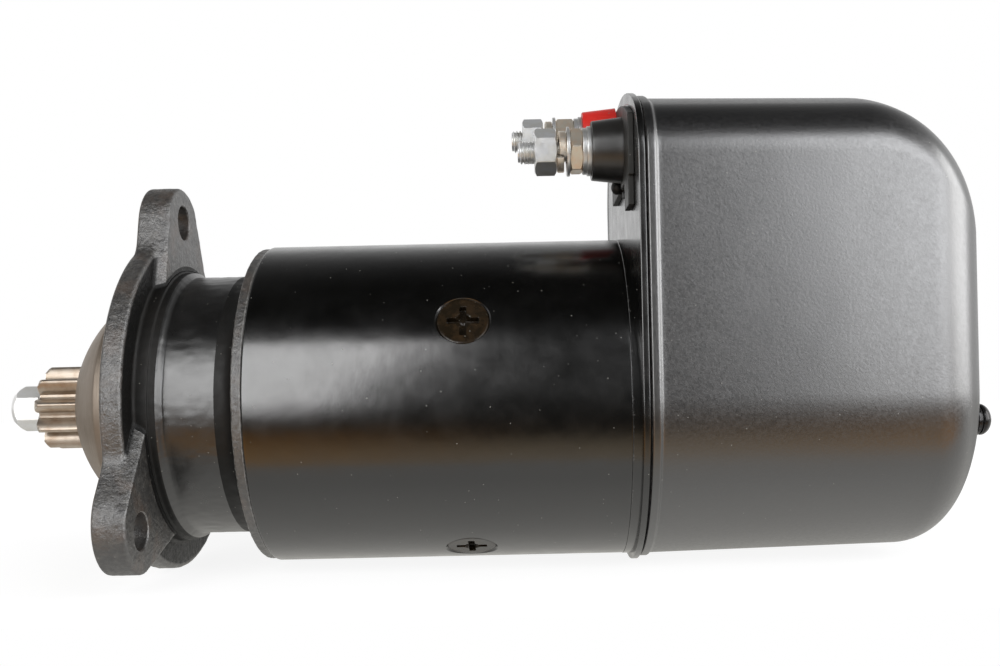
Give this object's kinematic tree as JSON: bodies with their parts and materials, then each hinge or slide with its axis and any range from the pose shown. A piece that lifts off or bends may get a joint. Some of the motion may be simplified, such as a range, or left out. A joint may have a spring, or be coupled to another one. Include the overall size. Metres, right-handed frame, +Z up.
{
  "type": "starter motor",
  "caption": "Heavy-duty engine starter motor with a lobed mounting flange, an overhung pinion that slides out and spins, insulated terminal studs and a deep rear cap over its solenoid.",
  "frame": {"origin": "centre of the pilot on the flange's mounting face", "axes": "+X along the turning axis from the mounting face towards the rear cap, the pinion points to -X, +Z up towards the terminals, +Y away from the picture's viewer"},
  "size_m": [0.4269, 0.175, 0.2078],
  "materials": {
    "cast_housing": "rough black paint on cast iron, worn grey on the edges",
    "yoke_paint": "gloss black paint",
    "shield_paint": "satin black paint",
    "cap_paint": "satin black paint with a fine grain",
    "black_zinc": "glossy black plating",
    "zinc_steel": "bright zinc plating",
    "hard_steel": "machined and oiled",
    "soft_iron": "plain",
    "spring_steel": "drawn wire",
    "copper": "bare and varnished copper",
    "bronze": "machined",
    "carbon": "pressed copper graphite",
    "black_moulding": "black moulding",
    "red_moulding": "red moulding",
    "black_rubber": "matt"
  },
  "bodies": {
    "housing": {"drive_housing": "cast_housing", "yoke": "yoke_paint", "pole_screws": "yoke_paint", "end_shield": "shield_paint", "rear_cap": "cap_paint", "cap_nuts": "black_zinc", "cap_washers": "black_zinc", "terminal_nuts": "zinc_steel", "terminal_washers": "zinc_steel", "spring_washers": "zinc_steel", "motor_post": "zinc_steel", "battery_post": "zinc_steel", "drive_bearing": "hard_steel", "cap_studs": "hard_steel", "through_bolts": "hard_steel", "pole_shoes": "soft_iron", "solenoid_case": "soft_iron", "solenoid_end_plate": "soft_iron", "solenoid_core": "soft_iron", "relay_case": "soft_iron", "relay_bracket": "soft_iron", "brush_plate": "soft_iron", "brush_springs": "spring_steel", "return_spring": "spring_steel", "relay_spring": "spring_steel", "field_coils": "copper", "solenoid_coil": "copper", "relay_coil": "copper", "field_strap": "copper", "nose_bush": "bronze", "rear_bush": "bronze", "plunger_sleeve": "bronze", "brush_holders": "bronze", "terminal_base": "black_moulding", "motor_insulator": "black_moulding", "battery_insulator": "red_moulding", "shaft_seal": "black_rubber", "cap_gasket": "black_rubber", "control_plug": "black_rubber"},
    "armature": {"armature_shaft": "hard_steel", "armature_core": "soft_iron", "armature_winding": "copper", "commutator": "copper", "clutch_basket": "hard_steel", "clutch_plates": "hard_steel", "clutch_hub": "hard_steel", "clutch_spring": "hard_steel"},
    "pinion": {"pinion_shaft": "hard_steel", "pinion": "hard_steel", "pinion_key": "hard_steel", "pinion_washer": "zinc_steel", "pinion_nut": "zinc_steel"},
    "plunger": {"plunger": "hard_steel", "engaging_rod": "hard_steel"},
    "relay": {"relay_armature": "hard_steel", "contact_bridge": "copper"},
    "brush_1": {"brush_1": "carbon"},
    "brush_2": {"brush_2": "carbon"},
    "brush_3": {"brush_3": "carbon"},
    "brush_4": {"brush_4": "carbon"}
  },
  "joints": [
    {"name": "armature_spin", "type": "hinge", "parent": "housing", "child": "armature", "pos_m": [0, 0, 0], "axis": [1, 0, 0], "continuous": true},
    {"name": "plunger_slide", "type": "slide", "parent": "housing", "child": "plunger", "axis": [-1, 0, 0], "range_m": [0, 0.02], "stiffness_N_per_m": 1200, "deforming": ["return_spring"]},
    {"name": "pinion_feed", "type": "slide", "parent": "armature", "child": "pinion", "axis": [-1, 0, 0], "range_m": [0, 0.02]},
    {"name": "contact_close", "type": "slide", "parent": "housing", "child": "relay", "axis": [-1, 0, 0], "range_m": [0, 0.0027], "stiffness_N_per_m": 900, "deforming": ["relay_spring"]},
    {"name": "brush_lift_1", "type": "slide", "parent": "housing", "child": "brush_1", "axis": [0, -0.309, 0.9511], "range_m": [0, 0.003], "stiffness_N_per_m": 500, "deforming": ["brush_springs"]},
    {"name": "brush_lift_2", "type": "slide", "parent": "housing", "child": "brush_2", "axis": [0, 0.9511, 0.309], "range_m": [0, 0.003], "stiffness_N_per_m": 500, "deforming": ["brush_springs"]},
    {"name": "brush_lift_3", "type": "slide", "parent": "housing", "child": "brush_3", "axis": [0, 0.309, -0.9511], "range_m": [0, 0.003], "stiffness_N_per_m": 500, "deforming": ["brush_springs"]},
    {"name": "brush_lift_4", "type": "slide", "parent": "housing", "child": "brush_4", "axis": [0, -0.9511, -0.309], "range_m": [0, 0.003], "stiffness_N_per_m": 500, "deforming": ["brush_springs"]}
  ],
  "couplings": [
    {"joint": "pinion_feed", "follows": "plunger_slide", "ratio": 1}
  ]
}
